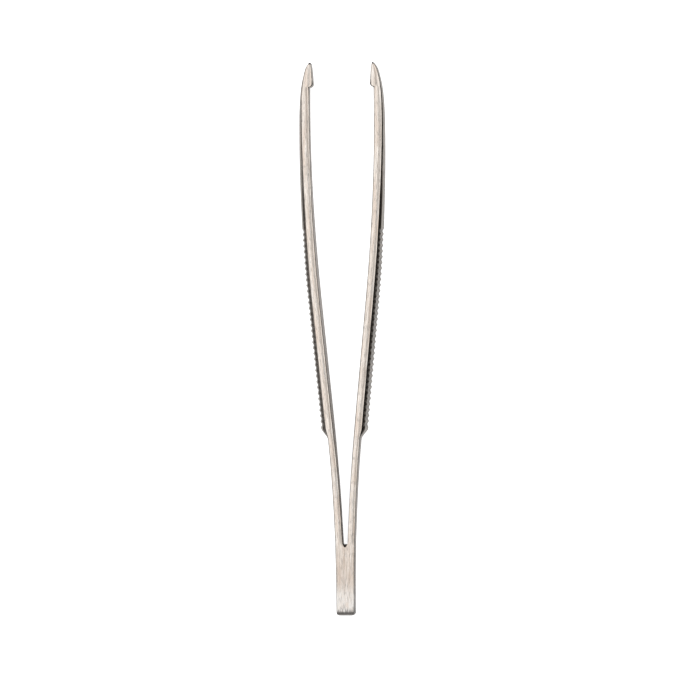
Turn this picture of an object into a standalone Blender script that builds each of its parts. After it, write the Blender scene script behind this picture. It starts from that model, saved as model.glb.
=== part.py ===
"""Stamp tongs: two sprung steel halves with ribbed grips, welded together at the tail.

The tongs lie on one side. The jaws point to +Y, the halves spread along X, and +Z is up. A length
called "s" is measured along the tongs from the end of the tail.
"""
import math

import bmesh
import bpy

MM = 0.001

# Overall
LENGTH = 120.0 * MM
GRIP_WIDTH = 8.2 * MM
MID_HEIGHT = GRIP_WIDTH / 2
TAIL_Y = -LENGTH / 2

# The inner face of a half, as its distance from the middle plane
CROTCH = 16.0 * MM
CROTCH_GAP = 0.68 * MM
ROOT_SLOPE = 0.05
LEG_SLOPE = 0.097
BEND_OUT = (22.0 * MM, 38.0 * MM)
BEND_BACK = (68.0 * MM, 110.0 * MM)

# Thickness of the flat edges; a tail boss is measured from the middle plane
TAIL_END_EDGE = 1.90 * MM
TAIL_TOP_EDGE = 1.91 * MM
LEAF_ROOT_EDGE = 1.36 * MM
LEAF_TOP_EDGE = 1.22 * MM
GRIP_EDGE = 1.52 * MM
NECK_EDGE = 1.62 * MM
SHOULDER = (38.2 * MM, 40.7 * MM)
NECK_STARTS = (84.0 * MM, 104.0 * MM)

# Crown: how far the convex outer face stands out past the edges
LEAF_CROWN = 0.20 * MM
GRIP_CROWN = 1.20 * MM
NECK_CROWN = 0.58 * MM
JAW_CROWN = 0.28 * MM
CROWN_FADES = (76.0 * MM, 110.0 * MM)
CROWN_ENDS = (109.0 * MM, 117.0 * MM)
CROWN_ANGLES = (-60, -25, 25, 60)

# Width, from edge to edge
TAIL_WIDTH = 5.4 * MM
NECK_WIDTH = 3.8 * MM
JAW_WIDTH = 4.8 * MM
TAIL_FLARES = (30.0 * MM, 46.0 * MM)
GRIP_NARROWS = (68.0 * MM, 106.0 * MM)
JAW_FLARES = (109.0 * MM, 115.0 * MM)

# Grip ribs: narrow ridges with wider grooves between them, all across the crown
RIB_PITCH = 1.23 * MM
RIB_COUNT = 35
RIB_START = 40.9 * MM
RIB_DEPTH = 0.26 * MM
RIB_TOP = 0.25

# Jaw: a pad stands inwards, with a slanted step at its lower end
CLOSING_ANGLE = math.radians(3.9)
STEP_START = 114.3 * MM
PAD_START = 115.6 * MM
PAD_GAP = 6.2 * MM
JAW_TAPERS = (108.5 * MM, LENGTH)
JAW_TAPER = 1.75 * MM
JAW_TAPER_POWER = 2.2
TIP_ROUND_START = 118.4 * MM
TIP_BLUNTNESS = 0.97

# Tail
TAIL_CORNER = 0.65 * MM
TAIL_EDGE_ROUND = 1.3 * MM
SEAM_HALF = 0.5 * MM
NOTCH_START = 14.8 * MM
WELD_HALF_THICKNESS = 0.25 * MM
WELD_START = 0.9 * MM
WELD_END = 14.4 * MM
WELD_INSET = 0.45 * MM
WELD_BEVEL = 0.1 * MM

# Flexure: a half bends in its leaf, and the bend is gathered at one pivot
PIVOT_S = 25.6 * MM
PIVOT_CLEARANCE = 0.3 * MM


def smooth(s, span):
    """Goes from 0 to 1 over span, with no slope at either end."""
    u = min(max((s - span[0]) / (span[1] - span[0]), 0.0), 1.0)
    return u * u * (3.0 - 2.0 * u)


def ramp(s, span):
    """Goes from 0 to 1 over span in a straight line."""
    return min(max((s - span[0]) / (span[1] - span[0]), 0.0), 1.0)


def bend(s, span):
    """Sideways travel of a line whose slope grows evenly from 0 to 1 over span."""
    if s <= span[0]:
        return 0.0
    if s >= span[1]:
        return s - (span[0] + span[1]) / 2
    return (s - span[0]) ** 2 / (2 * (span[1] - span[0]))


def leg_gap(s):
    """Distance from the middle plane to the inner face of the leaf, grip and neck."""
    straight = CROTCH_GAP + ROOT_SLOPE * (s - CROTCH)
    out = (LEG_SLOPE - ROOT_SLOPE) * bend(s, BEND_OUT)
    back = LEG_SLOPE * bend(s, BEND_BACK)
    return straight + out - back


def blend(start, end, share):
    return start + (end - start) * share


def edge_thickness(s):
    leaf = blend(LEAF_ROOT_EDGE, LEAF_TOP_EDGE, ramp(s, (CROTCH, SHOULDER[0])))
    grip = blend(leaf, GRIP_EDGE, ramp(s, SHOULDER))
    return blend(grip, NECK_EDGE, smooth(s, NECK_STARTS))


def crown_height(s):
    grip = blend(LEAF_CROWN, GRIP_CROWN, ramp(s, SHOULDER))
    neck = blend(grip, NECK_CROWN, ramp(s, CROWN_FADES))
    return blend(neck, JAW_CROWN, ramp(s, CROWN_ENDS))


def inner_x(s):
    if s < NOTCH_START:
        return SEAM_HALF
    if s < CROTCH:
        return blend(SEAM_HALF, leg_gap(CROTCH), ramp(s, (NOTCH_START, CROTCH)))
    if s < PAD_START:
        return blend(leg_gap(s), PAD_GAP, ramp(s, (STEP_START, PAD_START)))
    return PAD_GAP + (s - PAD_START) * math.tan(CLOSING_ANGLE)


def outer_x(s):
    """Distance from the middle plane to the edge's outer corner, where the crown begins."""
    if s < CROTCH:
        tail = blend(TAIL_END_EDGE, TAIL_TOP_EDGE, s / CROTCH)
        leaf = leg_gap(CROTCH) + edge_thickness(CROTCH)
        return blend(tail, leaf, smooth(s, (NOTCH_START / 2, CROTCH)))
    return leg_gap(s) + edge_thickness(s) - JAW_TAPER * ramp(s, JAW_TAPERS) ** JAW_TAPER_POWER


def half_width(s):
    grip = blend(TAIL_WIDTH, GRIP_WIDTH, smooth(s, TAIL_FLARES))
    neck = blend(grip, NECK_WIDTH, smooth(s, GRIP_NARROWS))
    jaw = blend(neck, JAW_WIDTH, smooth(s, JAW_FLARES))
    return jaw / 2


def round_end(distance, radius):
    """How far a rounded corner has drawn in, at a distance from the end."""
    if distance >= radius:
        return 0.0
    return radius - math.sqrt(radius ** 2 - (radius - distance) ** 2)


def tip_scale(s):
    """Shrinks the sections over the rounded tip of the jaw."""
    u = TIP_BLUNTNESS * ramp(s, (TIP_ROUND_START, LENGTH))
    return math.sqrt(1.0 - u * u)


def section(s, groove=0.0):
    """Corners (x, z) of the right half's section at s; a groove lowers the crown."""
    middle = (inner_x(s) + outer_x(s)) / 2
    half_thickness = (outer_x(s) - inner_x(s)) / 2 * tip_scale(s)
    inner = middle - half_thickness
    edge = middle + half_thickness - round_end(s, TAIL_CORNER)
    half = half_width(s) * tip_scale(s) - round_end(s, TAIL_EDGE_ROUND)
    crown = (crown_height(s) - groove) * tip_scale(s)
    angles = [math.radians(angle) for angle in CROWN_ANGLES]
    arc = [(edge + crown * math.cos(a), half * math.sin(a)) for a in angles]
    return [(inner, -half), (edge, -half)] + arc + [(edge, half), (inner, half)]


def rib_stations():
    """Stations over the ribs, as (s, groove depth): each groove's floor, then the top after it."""
    stations = []
    flank = RIB_PITCH * (1.0 - RIB_TOP) / 2
    for rib in range(RIB_COUNT):
        floor = RIB_START + rib * RIB_PITCH
        stations += [(floor, RIB_DEPTH), (floor + flank, 0.0)]
        stations += [(floor + flank + RIB_PITCH * RIB_TOP, 0.0)]
    stations.append((RIB_START + RIB_COUNT * RIB_PITCH, RIB_DEPTH))
    return stations


def tail_stations():
    end_arc = [TAIL_EDGE_ROUND * (1.0 - math.cos(math.radians(a))) for a in range(0, 91, 15)]
    plain = [4.0, 7.4, 10.5, 13.0, 14.8, 15.4, 16.0, 18.0, 20.0, 22.0, 24.0]
    last = PIVOT_S - PIVOT_CLEARANCE / 2
    return [(s, 0.0) for s in end_arc + [value * MM for value in plain] + [last]]


def arm_stations():
    first = PIVOT_S + PIVOT_CLEARANCE / 2
    leaf = [28.0, 30.0, 32.0, 34.0, 36.0, 37.8, 39.2, 40.6]
    neck = [86.0, 89.0, 92.0, 95.0, 98.0, 100.5, 103.0, 106.0, 108.5, 111.0, 112.5]
    jaw = [113.5, 114.3, 115.0, 115.6, 116.5, 117.4, 118.4]
    tip_turn = [math.sin(math.radians(a)) for a in (25, 45, 60, 75)]
    tip = [TIP_ROUND_START + (LENGTH - TIP_ROUND_START) * turn for turn in tip_turn] + [LENGTH]
    below = [(first, 0.0)] + [(value * MM, 0.0) for value in leaf]
    above = [(value * MM, 0.0) for value in neck + jaw] + [(s, 0.0) for s in tip]
    return below + rib_stations() + above


def steel(name, colour, roughness):
    material = bpy.data.materials.new(name)
    material.use_nodes = True
    shader = material.node_tree.nodes["Principled BSDF"]
    shader.inputs["Base Color"].default_value = (*colour, 1.0)
    shader.inputs["Metallic"].default_value = 1.0
    shader.inputs["Roughness"].default_value = roughness
    return material


def loft(name, stations, side, origin, collection, material):
    """Skins the sections at the stations into one closed solid; side is +1 right, -1 left."""
    bm = bmesh.new()
    rings = []
    for s, groove in stations:
        y = TAIL_Y + s - origin[1]
        corners = section(s, groove)
        ring = [bm.verts.new((side * x - origin[0], y, z)) for x, z in corners]
        rings.append(ring)
    for low, high in zip(rings, rings[1:]):
        for a in range(len(low)):
            b = (a + 1) % len(low)
            bm.faces.new((low[a], low[b], high[b], high[a]))
    bm.faces.new(rings[0])
    bm.faces.new(rings[-1])
    bmesh.ops.recalc_face_normals(bm, faces=bm.faces)
    mesh = bpy.data.meshes.new(name)
    bm.to_mesh(mesh)
    bm.free()
    mesh.materials.append(material)
    part = bpy.data.objects.new(name, mesh)
    part.location = (origin[0], origin[1], MID_HEIGHT)
    collection.objects.link(part)
    return part


def pivot_point(side):
    """The flexure's axis runs along Z through the middle of the leaf's thickness."""
    middle = (inner_x(PIVOT_S) + outer_x(PIVOT_S)) / 2
    return (side * middle, TAIL_Y + PIVOT_S)


def make_tail(name, side, collection):
    material = steel(name + "_steel", (0.62, 0.58, 0.54), 0.38)
    return loft(name, tail_stations(), side, (0.0, 0.0), collection, material)


def make_arm(name, side, collection):
    material = steel(name + "_steel", (0.66, 0.62, 0.58), 0.34)
    return loft(name, arm_stations(), side, pivot_point(side), collection, material)


def make_weld(name, collection):
    """A thin bar of weld metal between the two tail bosses, sunk below their edges."""
    bpy.ops.mesh.primitive_cube_add(size=1.0)
    weld = bpy.context.active_object
    weld.name = name
    weld.data.name = name
    height = TAIL_WIDTH - 2 * WELD_INSET
    for vertex in weld.data.vertices:
        vertex.co.x *= 2 * WELD_HALF_THICKNESS
        vertex.co.y *= WELD_END - WELD_START
        vertex.co.z *= height
    weld.location = (0.0, TAIL_Y + (WELD_START + WELD_END) / 2, MID_HEIGHT)
    rounding = weld.modifiers.new("rounding", "BEVEL")
    rounding.width = WELD_BEVEL
    rounding.segments = 2
    weld.data.materials.append(steel(name + "_steel", (0.55, 0.51, 0.47), 0.45))
    for home in weld.users_collection:
        home.objects.unlink(weld)
    collection.objects.link(weld)
    return weld


def clear_scene():
    for old in list(bpy.data.objects):
        bpy.data.objects.remove(old, do_unlink=True)


def main():
    clear_scene()
    parts = bpy.data.collections.new("stamp_tongs")
    bpy.context.scene.collection.children.link(parts)
    for side, word in ((-1, "left"), (1, "right")):
        make_tail(word + "_tail", side, parts)
        make_arm(word + "_arm", side, parts)
    make_weld("tail_weld", parts)


main()
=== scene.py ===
"""Looks of the stamp tongs: two ground and brushed steel halves and the weld between their tails.

A length called "s" is measured along the tongs from the end of the tail. The jaws point to +Y, the
halves spread along X, and the tongs lie on one side, so +Z is up.
"""
import math

import bpy
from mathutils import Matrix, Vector


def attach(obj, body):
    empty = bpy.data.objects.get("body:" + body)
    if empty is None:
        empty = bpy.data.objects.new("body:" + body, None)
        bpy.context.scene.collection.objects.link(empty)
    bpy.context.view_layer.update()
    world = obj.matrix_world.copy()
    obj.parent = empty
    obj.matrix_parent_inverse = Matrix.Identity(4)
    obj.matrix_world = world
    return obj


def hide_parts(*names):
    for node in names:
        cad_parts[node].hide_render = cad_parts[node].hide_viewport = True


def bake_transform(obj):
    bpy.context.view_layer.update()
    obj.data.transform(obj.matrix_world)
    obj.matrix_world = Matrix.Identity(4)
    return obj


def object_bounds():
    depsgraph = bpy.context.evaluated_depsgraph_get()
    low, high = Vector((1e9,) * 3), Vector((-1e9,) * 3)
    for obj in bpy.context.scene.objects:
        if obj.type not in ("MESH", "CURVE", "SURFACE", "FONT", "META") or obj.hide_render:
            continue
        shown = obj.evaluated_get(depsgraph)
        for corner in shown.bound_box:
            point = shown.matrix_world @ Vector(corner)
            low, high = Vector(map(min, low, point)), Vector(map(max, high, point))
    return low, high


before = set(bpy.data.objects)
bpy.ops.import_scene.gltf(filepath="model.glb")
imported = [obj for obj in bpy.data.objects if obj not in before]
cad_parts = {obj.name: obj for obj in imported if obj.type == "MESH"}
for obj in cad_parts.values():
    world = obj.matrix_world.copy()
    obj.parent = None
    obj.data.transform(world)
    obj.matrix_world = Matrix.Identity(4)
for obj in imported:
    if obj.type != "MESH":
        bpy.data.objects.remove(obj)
cad_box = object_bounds()

MM = 0.001

# From the frame
LOW = Vector(cad_box[0])
HIGH = Vector(cad_box[1])
LENGTH = HIGH.y - LOW.y
TAIL_Y = LOW.y
MID_HEIGHT = (LOW.z + HIGH.z) / 2
GRIP_WIDTH = HIGH.z - LOW.z

# The inner face of a half, as its distance from the middle plane. A slope is travel outwards per
# length along the tongs, and grows or falls evenly over a bend.
CROTCH = 16.0 * MM
CROTCH_GAP = 0.57 * MM
ROOT_SLOPE = 0.05
LEG_SLOPE = 0.097
BEND_OUT = (22.0 * MM, 38.0 * MM)
BEND_BACK = (68.0 * MM, 110.0 * MM)
SEAM_HALF = 0.15 * MM
NOTCH_BOTTOM = 14.85 * MM
NOTCH_TOP = 15.75 * MM

# Weld metal in the bottom of the notch, painted near-black there as painted shade
WELD_TOP = 15.4 * MM
WELD_STEPS = 5
WELD_SINK = 0.9 * MM
WELD_OVERLAP = 0.03 * MM
WELD_PAINTED_SHADE = 0.9

# Thickness of the narrow edges; a tail boss is measured from the middle plane
TAIL_END_EDGE = 1.75 * MM
TAIL_TOP_EDGE = 1.77 * MM
TAIL_WIDENS = (7.4 * MM, CROTCH)
LEAF_ROOT_EDGE = 1.33 * MM
LEAF_TOP_EDGE = 1.19 * MM
GRIP_EDGE = 1.50 * MM
NECK_EDGE = 1.62 * MM
SHOULDER = (38.2 * MM, 40.7 * MM)
NECK_STARTS = (84.0 * MM, 104.0 * MM)

# Crown: how far the convex outer face stands out past the edges. Its sides, the flanks, slope off
# the edges and take up FLANK_SHARE of it.
LEAF_CROWN = 0.35 * MM
GRIP_CROWN = 1.33 * MM
NECK_CROWN = 0.69 * MM
JAW_CROWN = 0.40 * MM
CROWN_FADES = (76.0 * MM, 110.0 * MM)
CROWN_ENDS = (109.0 * MM, 117.0 * MM)
CROWN_STEPS = 14
FLANK_SHARE = 0.56
FLANK_TURNS = (math.radians(28), math.radians(50))
FLANK_POINTS = (0.3, 0.55, 0.8)

# The flanks are painted nearly black, and less so on the neck and the leaf. The bands stand in for
# dark surroundings mirrored in polished steel, so they stay dark in any light.
FLANK_DARK = (0.0, 0.6, 1.0, 1.0)
FLANK_FADES = (88.0 * MM, 100.0 * MM)
NECK_DARK = 0.35
LEAF_DARK = 0.45

# Width, from edge to edge
TAIL_WIDTH = 5.4 * MM
NECK_WIDTH = 3.8 * MM
JAW_WIDTH = 4.8 * MM
TAIL_FLARES = (30.0 * MM, 46.0 * MM)
GRIP_NARROWS = (68.0 * MM, 106.0 * MM)
JAW_FLARES = (109.0 * MM, 115.0 * MM)

# Grip ribs: ridges with scooped grooves between them
RIB_PITCH = 1.23 * MM
RIB_COUNT = 35
RIB_START = 40.9 * MM
RIB_DEPTH = 0.27 * MM
RIB_STEPS = 10
RIB_REACH = (0.94, 0.68)
RIB_ROUNDNESS = 1.35

# Jaw: a pad stands inwards, with a slanted step at its lower end
CLOSING_ANGLE = math.radians(3.9)
STEP_START = 114.7 * MM
PAD_START = 115.4 * MM
PAD_GAP = 6.2 * MM
JAW_TAPERS = (108.5 * MM, LENGTH)
JAW_TAPER = 1.55 * MM
JAW_TAPER_POWER = 3.0
TIP_ROUND_START = 118.4 * MM
TIP_BLUNTNESS = 0.97
TIP_EDGE_ROUND = 0.3 * MM

# Rounded edges. A narrow edge is slightly convex: at its two sides it slopes by its tilt.
TAIL_CORNER = 0.65 * MM
TAIL_EDGE_ROUND = 1.3 * MM
EDGE_TILT = math.radians(8)
JAW_TILT = math.radians(13)
INNER_ROUND = 0.30 * MM
SEAM_ROUND = 0.006 * MM
OUTER_ROUND = 0.50 * MM
SEAM_OPENS = (NOTCH_BOTTOM, 16.5 * MM)
ROOT_ROUND_SHARE = 0.5
ROUND_STEPS = 6
ROUND_LIMIT = 0.45
CORNER_REACH = 0.7

# Points across a narrow edge and across an inner face, and the angle past which an edge is sharp
EDGE_STEPS = 10
FACE_STEPS = 8
SHARP_ANGLE = math.radians(27)

# Sections along each stretch of a half, the degrees between them where an end is rounded, and the
# last shares of the way over the tip
BOSS_SECTIONS = 16
NOTCH_SECTIONS = 14
LEAF_SECTIONS = 26
SHOULDER_SECTIONS = 12
NECK_SECTIONS = 40
STEP_SECTIONS = 8
PAD_SECTIONS = 6
TAIL_TURN = 9
TIP_TURN = 5
TIP_LAST = [0.9985, 1.0]

# The grain of the wide faces is read this far across from that of the edges, so it doesn't repeat it
FACE_GRAIN = 50.0 * MM

# Finish zones, each a number from 0 to 1 at every point, and the zones of a section on a narrow edge.
# The flank zone holds painted reflection and painted shade, the groove zone where painted shade goes and
# the end zone a painted dark reflection.
ZONES = ("face", "flank", "groove", "end", "rub", "tint")
EDGE_ZONES = ("edge", "fillet")

# The end of the tail is painted darker, a painted dark reflection of its rounded end, then comes a
# rubbed part and a heat tint by the weld
END_SHADE = (0.6 * MM, 1.9 * MM)
RUB_ENDS = (3.5 * MM, 8.5 * MM)
HEAT_ENDS = (9.5 * MM, 17.0 * MM)

# Painted reflection: a dark rim painted over the rounded tip of the jaw, standing in for dark
# surroundings mirrored in the rounded rim
RIM_PAINTED_REFLECTION = 0.95
RIM_DARKENS = (LENGTH - 0.60 * MM, LENGTH - 0.20 * MM)

# Painted shade: a dark line painted along the inner edges of the jaw's step
STEP_PAINTED_SHADE = 0.85
STEP_DARKENS = (114.4 * MM, 114.8 * MM)
STEP_CLEARS = (115.5 * MM, 116.4 * MM)

# Where the leaf bends as the tongs close; here it only sets where the inner corner's rounding grows to
# its full radius
FLEX = (16.0 * MM, 37.0 * MM)


# ---------------------------------------------------------------- shape along the tongs

def ramp(s, span):
    """Goes from 0 to 1 over span in a straight line."""
    return min(max((s - span[0]) / (span[1] - span[0]), 0.0), 1.0)


def smooth(s, span):
    """Goes from 0 to 1 over span, with no slope at either end."""
    u = ramp(s, span)
    return u * u * (3.0 - 2.0 * u)


def mix(start, end, share):
    return start + (end - start) * share


def bend(s, span):
    """Sideways travel of a line whose slope grows evenly from 0 to 1 over span."""
    if s <= span[0]:
        return 0.0
    if s >= span[1]:
        return s - (span[0] + span[1]) / 2
    return (s - span[0]) ** 2 / (2 * (span[1] - span[0]))


def leg_gap(s):
    """Distance from the middle plane to the inner face of the leaf, grip and neck."""
    straight = CROTCH_GAP + ROOT_SLOPE * (s - CROTCH)
    out = (LEG_SLOPE - ROOT_SLOPE) * bend(s, BEND_OUT)
    return straight + out - LEG_SLOPE * bend(s, BEND_BACK)


def edge_thickness(s):
    leaf = mix(LEAF_ROOT_EDGE, LEAF_TOP_EDGE, ramp(s, (CROTCH, SHOULDER[0])))
    grip = mix(leaf, GRIP_EDGE, smooth(s, SHOULDER))
    return mix(grip, NECK_EDGE, smooth(s, NECK_STARTS))


def crown_height(s):
    grip = mix(LEAF_CROWN, GRIP_CROWN, smooth(s, SHOULDER))
    neck = mix(grip, NECK_CROWN, ramp(s, CROWN_FADES))
    return mix(neck, JAW_CROWN, ramp(s, CROWN_ENDS))


def inner_x(s):
    if s < NOTCH_BOTTOM:
        return SEAM_HALF
    if s < PAD_START:
        notch = math.sin(math.pi / 2 * ramp(s, (NOTCH_BOTTOM, NOTCH_TOP)))
        leg = mix(SEAM_HALF, leg_gap(s), notch)
        short = 1.0 - ramp(s, (STEP_START, PAD_START))
        return mix(leg, PAD_GAP, math.sqrt(1.0 - short * short))
    return PAD_GAP + (s - PAD_START) * math.tan(CLOSING_ANGLE)


def outer_x(s):
    """Distance from the middle plane to the edge's outer corner, where the crown begins."""
    if s < CROTCH:
        tail = mix(TAIL_END_EDGE, TAIL_TOP_EDGE, s / CROTCH)
        leaf = leg_gap(CROTCH) + edge_thickness(CROTCH)
        return mix(tail, leaf, smooth(s, TAIL_WIDENS))
    return leg_gap(s) + edge_thickness(s) - JAW_TAPER * ramp(s, JAW_TAPERS) ** JAW_TAPER_POWER


def half_width(s):
    grip = mix(TAIL_WIDTH, GRIP_WIDTH, smooth(s, TAIL_FLARES))
    neck = mix(grip, NECK_WIDTH, smooth(s, GRIP_NARROWS))
    return mix(neck, JAW_WIDTH, smooth(s, JAW_FLARES)) / 2


def round_end(distance, radius):
    """How far a rounded corner has drawn in, at a distance from the end."""
    if distance >= radius:
        return 0.0
    return radius - math.sqrt(radius ** 2 - (radius - distance) ** 2)


def tip_scale(s):
    """Shrinks the sections over the rounded tip of the jaw."""
    u = TIP_BLUNTNESS * ramp(s, (TIP_ROUND_START, LENGTH))
    return math.sqrt(1.0 - u * u)


def rib_cut(s):
    """Share of the rib depth that is cut away at s: 0 on a ridge, 1 in the middle of a groove."""
    turn = (s - RIB_START) / RIB_PITCH
    if not 0.0 < turn < RIB_COUNT:
        return 0.0
    return abs(math.sin(math.pi * turn)) ** RIB_ROUNDNESS


# ---------------------------------------------------------------- one section of a half

def spread(start, end, count, lift=0.0):
    """Points from start to end, both left out, bulging by lift to the right of the way."""
    way = end - start
    side = Vector((way.y, -way.x)).normalized() if way.length else way
    points = []
    for step in range(1, count):
        u = step / count
        eased = u - math.sin(2 * math.pi * u) / (4 * math.pi)
        points.append(start + way * eased + side * lift * math.sin(math.pi * eased))
    return points


def arc(centre, radius, start, end):
    """Points of a fillet, from one direction to another, in degrees."""
    points = []
    for step in range(ROUND_STEPS + 1):
        turn = math.radians(mix(start, end, step / ROUND_STEPS))
        points.append(centre + Vector((math.cos(turn), math.sin(turn))) * radius)
    return points


def crown_line(edge, half, height, cut):
    """The outer face's lower half, from the flank that slopes off the edge to the middle height."""
    start, end = (math.tan(turn) for turn in FLANK_TURNS)
    reach = FLANK_SHARE * height
    points = []
    for share in FLANK_POINTS:
        rise = share * (start + (end - start) * share / 2)
        points.append(Vector((edge + reach * share, -half + reach * rise)))
    top = half - reach * (start + end) / 2
    rest = height - reach
    radius = (top ** 2 + rest ** 2) / (2 * rest)
    span = math.asin(min(top / radius, 1.0))
    for step in range(CROWN_STEPS // 2 + 1):
        turn = span * (step / (CROWN_STEPS // 2) - 1.0)
        points.append(Vector((edge + height - radius * (1.0 - math.cos(turn)), radius * math.sin(turn))))
    for point in points:
        point.x -= cut * smooth(-abs(point.y) / half, (-RIB_REACH[0], -RIB_REACH[1]))
    return points


def edge_ends(s):
    """The inner and outer ends of the narrow edge at s, and half its thickness."""
    middle = (inner_x(s) + outer_x(s)) / 2
    half_edge = (outer_x(s) - inner_x(s)) / 2 * tip_scale(s)
    return middle - half_edge, middle + half_edge - round_end(s, TAIL_CORNER), half_edge


def corner_radii(s, half_edge, half, height):
    """Radii of the rounded corners at s, beside the inner face and beside the crown."""
    limit = min(half_edge, half) * ROUND_LIMIT
    sharp = mix(ROOT_ROUND_SHARE, 1.0, ramp(s, FLEX))
    inner = min(mix(SEAM_ROUND, INNER_ROUND * sharp, smooth(s, SEAM_OPENS)), limit)
    return inner, min(OUTER_ROUND, limit, CORNER_REACH * height)


def narrow_edge(inner, edge, half, radii, tilt):
    """The lower narrow edge: a fillet off the inner face, the convex flat and the outer corner."""
    r_in, r_out = radii
    lean = math.degrees(tilt)
    steep = math.degrees(FLANK_TURNS[0])
    set_back = r_out * math.tan(FLANK_TURNS[0] / 2)
    fillet = arc(Vector((inner + r_in, -half + r_in)), r_in, 180, 270 - lean)
    corner = arc(Vector((edge - set_back, -half + r_out)), r_out, 270 + lean, 270 + steep)
    wide = (corner[0] - fillet[-1]).length
    flat = spread(fillet[-1], corner[0], EDGE_STEPS, math.tan(tilt) * wide / math.pi)
    return fillet, flat + corner


def section(s):
    """Points (x, z) around the right half's section at s, with each point's finish zone."""
    scale = tip_scale(s)
    inner, edge, half_edge = edge_ends(s)
    tilt = mix(EDGE_TILT * smooth(s, SEAM_OPENS), JAW_TILT, smooth(s, JAW_FLARES))
    half = half_width(s) - round_end(s, TAIL_EDGE_ROUND) - round_end(LENGTH - s, TIP_EDGE_ROUND)
    half -= math.tan(tilt) * half_edge * 2.0 / math.pi
    height = crown_height(s) * scale
    radii = corner_radii(s, half_edge, half, height)

    fillet, flat = narrow_edge(inner, edge, half, radii, tilt)
    crown = crown_line(edge, half, height, RIB_DEPTH * rib_cut(s) * scale)
    flank_end = len(FLANK_POINTS) + 1
    lower = [(p, "fillet") for p in fillet] + [(p, "edge") for p in flat]
    lower += [(p, "flank") for p in crown[:flank_end]] + [(p, "crown") for p in crown[flank_end:]]
    upper = [(Vector((p.x, -p.y)), zone) for p, zone in reversed(lower[:-1])]
    face = [(p, "face") for p in spread(upper[-1][0], lower[0][0], FACE_STEPS)]
    return lower + upper + face


# ---------------------------------------------------------------- stations along a half

def even(start, end, count):
    """Count places evenly from start to end, with the end left out."""
    return [mix(start, end, step / count) for step in range(count)]


def stations():
    """Every s at which a half has a section."""
    tail = [TAIL_EDGE_ROUND * (1.0 - math.cos(math.radians(a))) for a in range(0, 90, TAIL_TURN)]
    tail += even(TAIL_EDGE_ROUND, NOTCH_BOTTOM, BOSS_SECTIONS)
    tail += even(NOTCH_BOTTOM, SEAM_OPENS[1], NOTCH_SECTIONS)
    leaf = even(SEAM_OPENS[1], SHOULDER[0], LEAF_SECTIONS)
    shoulder = even(SHOULDER[0], RIB_START, SHOULDER_SECTIONS)
    rib_end = RIB_START + RIB_COUNT * RIB_PITCH
    ribs = even(RIB_START, rib_end, RIB_COUNT * RIB_STEPS)
    neck = even(rib_end, STEP_START, NECK_SECTIONS)
    step = even(STEP_START, PAD_START, STEP_SECTIONS)
    pad = even(PAD_START, TIP_ROUND_START, PAD_SECTIONS)
    tip_turns = [math.sin(math.radians(a)) for a in range(0, 90, TIP_TURN)] + TIP_LAST
    tip = [mix(TIP_ROUND_START, LENGTH, turn) for turn in tip_turns]
    return tail + leaf + shoulder + ribs + neck + step + pad + tip


# ---------------------------------------------------------------- meshes

def skin(name, rings, zones):
    """A mesh over rings of 3-D points, with a UV map of metres along and across its grain."""
    count = len(rings[0])
    faces = []
    for r in range(len(rings) - 1):
        for a in range(count):
            b = (a + 1) % count
            faces.append((r * count + b, r * count + a, (r + 1) * count + a, (r + 1) * count + b))
    faces.append(tuple(range(count)))
    last = (len(rings) - 1) * count
    faces.append(tuple(reversed(range(last, last + count))))
    mesh = bpy.data.meshes.new(name)
    mesh.from_pydata([p for ring in rings for p in ring], [], faces)
    add_grain_map(mesh, zones, count)
    mesh.shade_smooth()
    mesh.set_sharp_from_angle(angle=SHARP_ANGLE)
    return mesh


def grain_drift(s):
    """How far the grain of a half's edge has moved outwards with the leg."""
    return leg_gap(max(s, CROTCH)) - leg_gap(CROTCH)


def add_grain_map(mesh, zones, count):
    """Across the grain is X on a narrow edge and Z on a wide face, so the grain follows the leg."""
    grain = mesh.uv_layers.new(name="grain")
    for polygon in mesh.polygons:
        on_edge = sum(zones[v % count] in EDGE_ZONES for v in polygon.vertices)
        narrow = on_edge * 2 > len(polygon.vertices)
        for loop in polygon.loop_indices:
            place = mesh.vertices[mesh.loops[loop].vertex_index].co
            s = place.y - TAIL_Y
            across = abs(place.x) - grain_drift(s) if narrow else FACE_GRAIN + place.z
            grain.data[loop].uv = (s, math.copysign(across, place.x))


def add_piece(mesh, zones, material):
    """An object of a mesh's own name, with its finish zones and its material."""
    for zone, numbers in zones.items():
        attribute = mesh.attributes.new(zone, "FLOAT", "POINT")
        attribute.data.foreach_set("value", numbers)
    mesh.materials.append(material)
    piece = bpy.data.objects.new(mesh.name, mesh)
    bpy.context.scene.collection.objects.link(piece)
    return piece


def tail_zones(s):
    """How far the finishes of the tail reach at s: painted dark end, rubbed part and heat tint."""
    rub = 1.0 - smooth(s, RUB_ENDS)
    return {"end": 1.0 - ramp(s, END_SHADE), "rub": rub, "tint": 1.0 - rub - smooth(s, HEAT_ENDS)}


def painted_reflection_and_shade(points, s):
    """How dark each point of a section is painted: painted reflection on the flanks and the jaw's rim,
    painted shade on its step's inner edges.
    """
    dark = [0.0] * len(points)
    fade = mix(1.0, NECK_DARK, smooth(s, FLANK_FADES)) * mix(LEAF_DARK, 1.0, smooth(s, SHOULDER))
    places = [index for index, (p, zone) in enumerate(points) if zone == "flank"]
    for place, value in zip(places, FLANK_DARK + tuple(reversed(FLANK_DARK))):
        dark[place] = value * fade
    step = STEP_PAINTED_SHADE * (smooth(s, STEP_DARKENS) - smooth(s, STEP_CLEARS))
    for place, (p, zone) in enumerate(points):
        if zone == "fillet":
            dark[place] = step
    rim = RIM_PAINTED_REFLECTION * smooth(s, RIM_DARKENS)
    return [max(value, rim) for value in dark]


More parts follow.
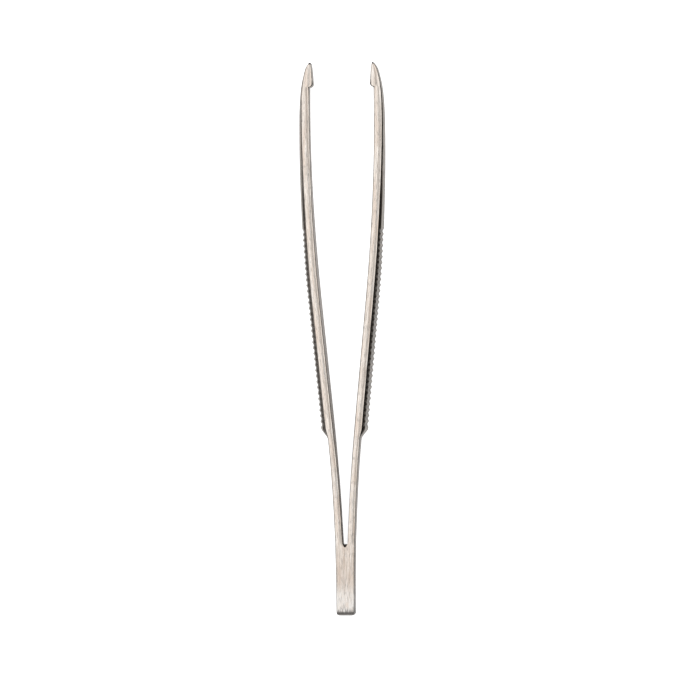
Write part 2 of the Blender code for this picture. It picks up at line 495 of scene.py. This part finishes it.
def build_half(name, side, material):
    rings = []
    zones = {zone: [] for zone in ZONES}
    for s in stations():
        cut = rib_cut(s)
        points = section(s)
        if side < 0:
            points = list(reversed(points))
        rings.append([Vector((side * p.x, TAIL_Y + s, MID_HEIGHT + p.y)) for p, zone in points])
        # Painted reflection on the flanks and rim and painted shade on the step's edges, kept in the
        # flank zone
        for (p, zone), darkness in zip(points, painted_reflection_and_shade(points, s)):
            zones["face"].append(1.0 if zone in ("face", "crown") else 0.0)
            zones["flank"].append(darkness)
            zones["groove"].append(cut if zone == "crown" else 0.0)
        for zone, value in tail_zones(s).items():
            zones[zone] += [value] * len(points)
    return add_piece(skin(name, rings, [zone for p, zone in points]), zones, material)


def build_weld(name, material):
    """Weld metal between the tail bosses: ground flush, then sunk below the edges in the notch, where it
    is painted near-black as painted shade.
    """
    rings = []
    zones = {zone: [] for zone in ZONES}
    rows = [s for s in stations() if s < NOTCH_BOTTOM]
    rows += [mix(NOTCH_BOTTOM, WELD_TOP, step / WELD_STEPS) for step in range(WELD_STEPS + 1)]
    for s in rows:
        sunk = ramp(s, (NOTCH_BOTTOM, WELD_TOP))
        wide = max(SEAM_HALF, inner_x(s) + WELD_OVERLAP)
        half = half_width(s) - round_end(s, TAIL_EDGE_ROUND) - WELD_SINK * math.sqrt(sunk)
        columns = [-wide, 0.0, wide] if sunk else [-SEAM_HALF, 0.0, SEAM_HALF]
        lower = [Vector((x, TAIL_Y + s, MID_HEIGHT - half)) for x in columns]
        upper = [Vector((x, TAIL_Y + s, MID_HEIGHT + half)) for x in reversed(columns)]
        rings.append(lower + upper)
        finish = {"face": 0.0, "flank": WELD_PAINTED_SHADE if sunk else 0.0, "groove": 0.0, **tail_zones(s)}
        for zone, value in finish.items():
            zones[zone] += [value] * len(rings[-1])
    return add_piece(skin(name, rings, ["edge"] * len(rings[0])), zones, material)


# ---------------------------------------------------------------- material

class Graph:
    """A short way to write a node tree."""

    def __init__(self, tree):
        self.tree = tree

    def node(self, kind, **settings):
        made = self.tree.nodes.new(kind)
        for key, value in settings.items():
            setattr(made, key, value)
        return made

    def link(self, source, target):
        self.tree.links.new(source, target)

    def feed(self, value, socket):
        """Links a node's output to a socket, or sets a plain value on it."""
        if isinstance(value, bpy.types.NodeSocket):
            self.link(value, socket)
        else:
            socket.default_value = value

    def attribute(self, name):
        return self.node("ShaderNodeAttribute", attribute_name=name).outputs["Fac"]

    def streaks(self, along, across, detail, seed):
        """Noise stretched along the arms; seed says where in the noise it is read."""
        grain = self.node("ShaderNodeUVMap", uv_map="grain")
        stretch = self.node("ShaderNodeMapping")
        stretch.inputs["Scale"].default_value = (1.0 / along, 1.0 / across, 1.0)
        stretch.inputs["Location"].default_value = (seed, seed * 0.37, seed)
        noise = self.node("ShaderNodeTexNoise")
        noise.inputs["Scale"].default_value = 1.0
        noise.inputs["Detail"].default_value = detail
        self.link(grain.outputs["UV"], stretch.inputs["Vector"])
        self.link(stretch.outputs["Vector"], noise.inputs["Vector"])
        return noise.outputs["Fac"]

    def remap(self, value, low, high, to_low, to_high):
        """Turns low to high into to_low to to_high in a straight line, and holds it outside them."""
        ranged = self.node("ShaderNodeMapRange")
        for socket, number in zip(("From Min", "From Max", "To Min", "To Max"),
                                  (low, high, to_low, to_high)):
            ranged.inputs[socket].default_value = number
        self.link(value, ranged.inputs["Value"])
        return ranged.outputs["Result"]

    def blend(self, share, first, second, mode="MIX"):
        made = self.node("ShaderNodeMix", data_type="RGBA", blend_type=mode)
        self.feed(share, made.inputs[0])
        self.feed(first, made.inputs[6])
        self.feed(second, made.inputs[7])
        return made.outputs[2]

    def math(self, operation, first, second):
        made = self.node("ShaderNodeMath", operation=operation)
        self.feed(first, made.inputs[0])
        self.feed(second, made.inputs[1])
        return made.outputs[0]


# Colours of the steel. The near-black one is the painted dark band of the flanks, rim, step and weld, a
# painted reflection and painted shade; the groove colour is painted shade and the end colour a painted
# dark reflection. None of these is a colour that steel has.
EDGE_STEEL = (0.72, 0.655, 0.595, 1.0)
EDGE_BRIGHT = (0.77, 0.725, 0.68, 1.0)
EDGE_SHADE = (0.42, 0.37, 0.325, 1.0)
EDGE_TINT = (0.56, 0.465, 0.395, 1.0)
FACE_STEEL = (0.62, 0.58, 0.53, 1.0)
FACE_SHADE = (0.50, 0.46, 0.42, 1.0)
MARK_STEEL = (0.36, 0.32, 0.28, 1.0)
PAINTED_REFLECTION_AND_SHADE = (0.035, 0.028, 0.022, 1.0)
GROOVE_PAINTED_SHADE = (0.34, 0.315, 0.29, 1.0)
END_PAINTED_REFLECTION = (0.23, 0.215, 0.205, 1.0)
RUB_STEEL = (0.65, 0.63, 0.605, 1.0)
HEAT_TINT = (0.84, 0.80, 0.77, 1.0)


# Streaks: length along the arm, width across it, detail of the noise, and seed
BROAD_STREAKS = (9.0 * MM, 0.8 * MM, 3.0, 11.0)
PALE_STREAKS = (6.0 * MM, 1.1 * MM, 2.0, 23.0)
WIDE_STREAKS = (4.5 * MM, 0.20 * MM, 5.0, 0.0)
FINE_STREAKS = (3.0 * MM, 0.05 * MM, 3.0, 3.1)
MARK_STREAKS = (1.5 * MM, 0.11 * MM, 2.0, 7.7)
PATCH_STREAKS = (1.6 * MM, 0.5 * MM, 5.0, 31.0)
END_RAGGING_STREAKS = (1.4 * MM, 0.22 * MM, 5.0, 17.0)

EDGE_ROUGHNESS = 0.09
FACE_ROUGHNESS = 0.30
GRAIN_STRENGTH = 0.5
GRAIN_DEPTH = 0.03 * MM


def brushed_steel(name):
    """Ground steel, with the finish zones laid over it one by one."""
    material = bpy.data.materials.new(name)
    material.use_nodes = True
    graph = Graph(material.node_tree)
    shader = material.node_tree.nodes["Principled BSDF"]
    shader.inputs["Metallic"].default_value = 1.0

    broad = graph.streaks(*BROAD_STREAKS)
    pale = graph.streaks(*PALE_STREAKS)
    wide = graph.streaks(*WIDE_STREAKS)
    fine = graph.streaks(*FINE_STREAKS)
    marks = graph.streaks(*MARK_STREAKS)
    patch = graph.streaks(*PATCH_STREAKS)
    end_ragging = graph.streaks(*END_RAGGING_STREAKS)

    hair = graph.math("ADD", graph.math("MULTIPLY", wide, 0.55), graph.math("MULTIPLY", fine, 0.45))
    tone = graph.remap(hair, 0.40, 0.62, 0.0, 0.85)
    edge = graph.blend(graph.remap(pale, 0.50, 0.62, 0.0, 1.0), EDGE_STEEL, EDGE_BRIGHT)
    edge = graph.blend(tone, edge, EDGE_SHADE)
    edge = graph.blend(graph.remap(broad, 0.46, 0.66, 0.0, 0.8), edge, EDGE_TINT)
    face = graph.blend(tone, FACE_STEEL, FACE_SHADE)
    colour = graph.blend(graph.attribute("face"), edge, face)
    colour = graph.blend(graph.remap(marks, 0.55, 0.80, 0.0, 0.6), colour, MARK_STEEL)
    # Painted shade: the grooves between the ribs are painted darker
    colour = graph.blend(graph.attribute("groove"), colour, GROOVE_PAINTED_SHADE)
    patchy = graph.remap(patch, 0.35, 0.6, 0.2, 0.9)
    colour = graph.blend(graph.math("MULTIPLY", graph.attribute("rub"), patchy), colour, RUB_STEEL)
    hot = graph.math("MULTIPLY", graph.attribute("tint"), graph.remap(patch, 0.3, 0.6, 0.3, 1.0))
    colour = graph.blend(hot, colour, HEAT_TINT, "MULTIPLY")
    # Painted reflection: the tail's end is painted darker, with a ragged border
    ragged = graph.math("ADD", graph.attribute("end"), graph.remap(end_ragging, 0.38, 0.62, -0.5, 0.45))
    colour = graph.blend(graph.remap(ragged, 0.15, 0.75, 0.0, 0.9), colour, END_PAINTED_REFLECTION)
    # Near-black paint: painted reflection on the flanks and the jaw's rim, painted shade on the step's
    # edges and the sunk weld
    colour = graph.blend(graph.attribute("flank"), colour, PAINTED_REFLECTION_AND_SHADE)
    graph.link(colour, shader.inputs["Base Color"])

    base = graph.remap(graph.attribute("face"), 0.0, 1.0, EDGE_ROUGHNESS, FACE_ROUGHNESS)
    rough = graph.math("ADD", base, graph.remap(fine, 0.3, 0.7, -0.03, 0.09))
    graph.link(rough, shader.inputs["Roughness"])

    height = graph.math("ADD", graph.math("MULTIPLY", wide, 0.7), graph.math("MULTIPLY", fine, 0.3))
    bump = graph.node("ShaderNodeBump")
    bump.inputs["Strength"].default_value = GRAIN_STRENGTH
    bump.inputs["Distance"].default_value = GRAIN_DEPTH
    graph.link(height, bump.inputs["Height"])
    graph.link(bump.outputs["Normal"], shader.inputs["Normal"])
    return material


# ---------------------------------------------------------------- studio

VIEW_TILT = math.radians(3.6)
VIEW_ROLL = math.radians(-0.48)
VIEW_DISTANCE = 1.1
FRAME_SIDE = 0.1494
AIM = Vector((0.42 * MM, -1.3 * MM, 7.5 * MM))
SENSOR = 36.0
CLIP_NEAR = 0.01
CLIP_FAR = 20.0


def add_camera():
    data = bpy.data.cameras.new("camera")
    data.sensor_width = SENSOR
    data.lens = SENSOR * VIEW_DISTANCE / FRAME_SIDE
    data.clip_start = CLIP_NEAR
    data.clip_end = CLIP_FAR
    camera = bpy.data.objects.new("camera", data)
    camera.rotation_euler = (0.0, VIEW_TILT, 0.0)
    camera.rotation_euler.rotate_axis("Z", VIEW_ROLL)
    camera.location = AIM + Vector((math.sin(VIEW_TILT), 0.0, math.cos(VIEW_TILT))) * VIEW_DISTANCE
    bpy.context.scene.collection.objects.link(camera)
    bpy.context.scene.camera = camera


# The room's brightness by the angle from straight up, towards +X and either way along the tongs.
# The levels are tuned, not measured: they put the bright and dark bands on the steel.
ROOM_ACROSS = ((-180, 0.15), (-86, 0.15), (-70, 0.35), (-58, 1.1), (-48, 1.47), (-16, 1.47), (-6, 1.46),
               (0, 1.28), (4, 0.80), (10, 0.70), (16, 1.5), (46, 1.6), (54, 0.04), (180, 0.04))
ROOM_ALONG = ((0, 1.0), (32, 1.0), (52, 0.5), (72, 0.3), (180, 0.3))
ROOM_PEAK = 1.6
BACKDROP = 1.0

FLOOR_SIZE = 4.0
FLOOR_GREY = (0.80, 0.80, 0.80, 1.0)
FLOOR_GLOW = 0.82


def room_band(graph, angle, levels, low):
    """The brightness of the room at an angle, from (degrees, brightness) levels."""
    share = graph.remap(angle, math.radians(low), math.pi, 0.0, 1.0)
    made = graph.node("ShaderNodeValToRGB")
    stops = made.color_ramp.elements
    for index, (degrees, value) in enumerate(levels):
        where = (degrees - low) / (180 - low)
        stop = stops[index] if index < 2 else stops.new(where)
        stop.position = where
        stop.color = (value / ROOM_PEAK,) * 3 + (1.0,)
    graph.link(share, made.inputs["Fac"])
    return graph.math("MULTIPLY", made.outputs["Color"], ROOM_PEAK)


def add_room():
    """Light from all round; the camera itself sees a plain white backdrop."""
    world = bpy.data.worlds.new("room")
    bpy.context.scene.world = world
    world.use_nodes = True
    graph = Graph(world.node_tree)
    background = world.node_tree.nodes["Background"]
    place = graph.node("ShaderNodeTexCoord")
    parts = graph.node("ShaderNodeSeparateXYZ")
    graph.link(place.outputs["Generated"], parts.inputs[0])
    away = graph.math("ABSOLUTE", parts.outputs["Y"], 0.0)
    sideways = graph.math("ARCTAN2", parts.outputs["X"], parts.outputs["Z"])
    lengthways = graph.math("ARCTAN2", away, parts.outputs["Z"])
    across = room_band(graph, sideways, ROOM_ACROSS, -180)
    along = room_band(graph, lengthways, ROOM_ALONG, 0)
    lit = graph.math("MULTIPLY", across, along)
    seen = graph.node("ShaderNodeLightPath").outputs["Is Camera Ray"]
    level = graph.node("ShaderNodeMix", data_type="FLOAT")
    graph.link(seen, level.inputs[0])
    graph.link(lit, level.inputs[2])
    level.inputs[3].default_value = BACKDROP
    graph.link(level.outputs[0], background.inputs["Strength"])
    background.inputs["Color"].default_value = (1.0, 1.0, 1.0, 1.0)


def add_floor():
    """A pale floor, with a glow that only the camera sees, so that it shows as white."""
    bpy.ops.mesh.primitive_plane_add(size=FLOOR_SIZE, location=(0.0, 0.0, LOW.z))
    floor = bpy.context.active_object
    floor.name = "floor"
    material = bpy.data.materials.new("floor_white")
    material.use_nodes = True
    graph = Graph(material.node_tree)
    tree = material.node_tree
    tree.nodes.remove(tree.nodes["Principled BSDF"])
    output = tree.nodes["Material Output"]
    plain = graph.node("ShaderNodeBsdfDiffuse")
    plain.inputs["Color"].default_value = FLOOR_GREY
    glow = graph.node("ShaderNodeEmission")
    glow.inputs["Strength"].default_value = FLOOR_GLOW
    lit = graph.node("ShaderNodeAddShader")
    graph.link(plain.outputs[0], lit.inputs[0])
    graph.link(glow.outputs[0], lit.inputs[1])
    seen = graph.node("ShaderNodeLightPath").outputs["Is Camera Ray"]
    choice = graph.node("ShaderNodeMixShader")
    graph.link(seen, choice.inputs[0])
    graph.link(plain.outputs[0], choice.inputs[1])
    graph.link(lit.outputs[0], choice.inputs[2])
    graph.link(choice.outputs[0], output.inputs["Surface"])
    floor.data.materials.append(material)


def main():
    bpy.context.scene.view_settings.view_transform = "Standard"
    steel = brushed_steel("brushed_steel")
    for word, side in (("left", -1), ("right", 1)):
        half = build_half(word + "_half", side, steel)
        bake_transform(half)
        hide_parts(word + "_tail", word + "_arm")
    weld = build_weld("ground_weld", steel)
    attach(weld, "tail")
    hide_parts("tail_weld")
    add_camera()
    add_room()
    add_floor()


main()
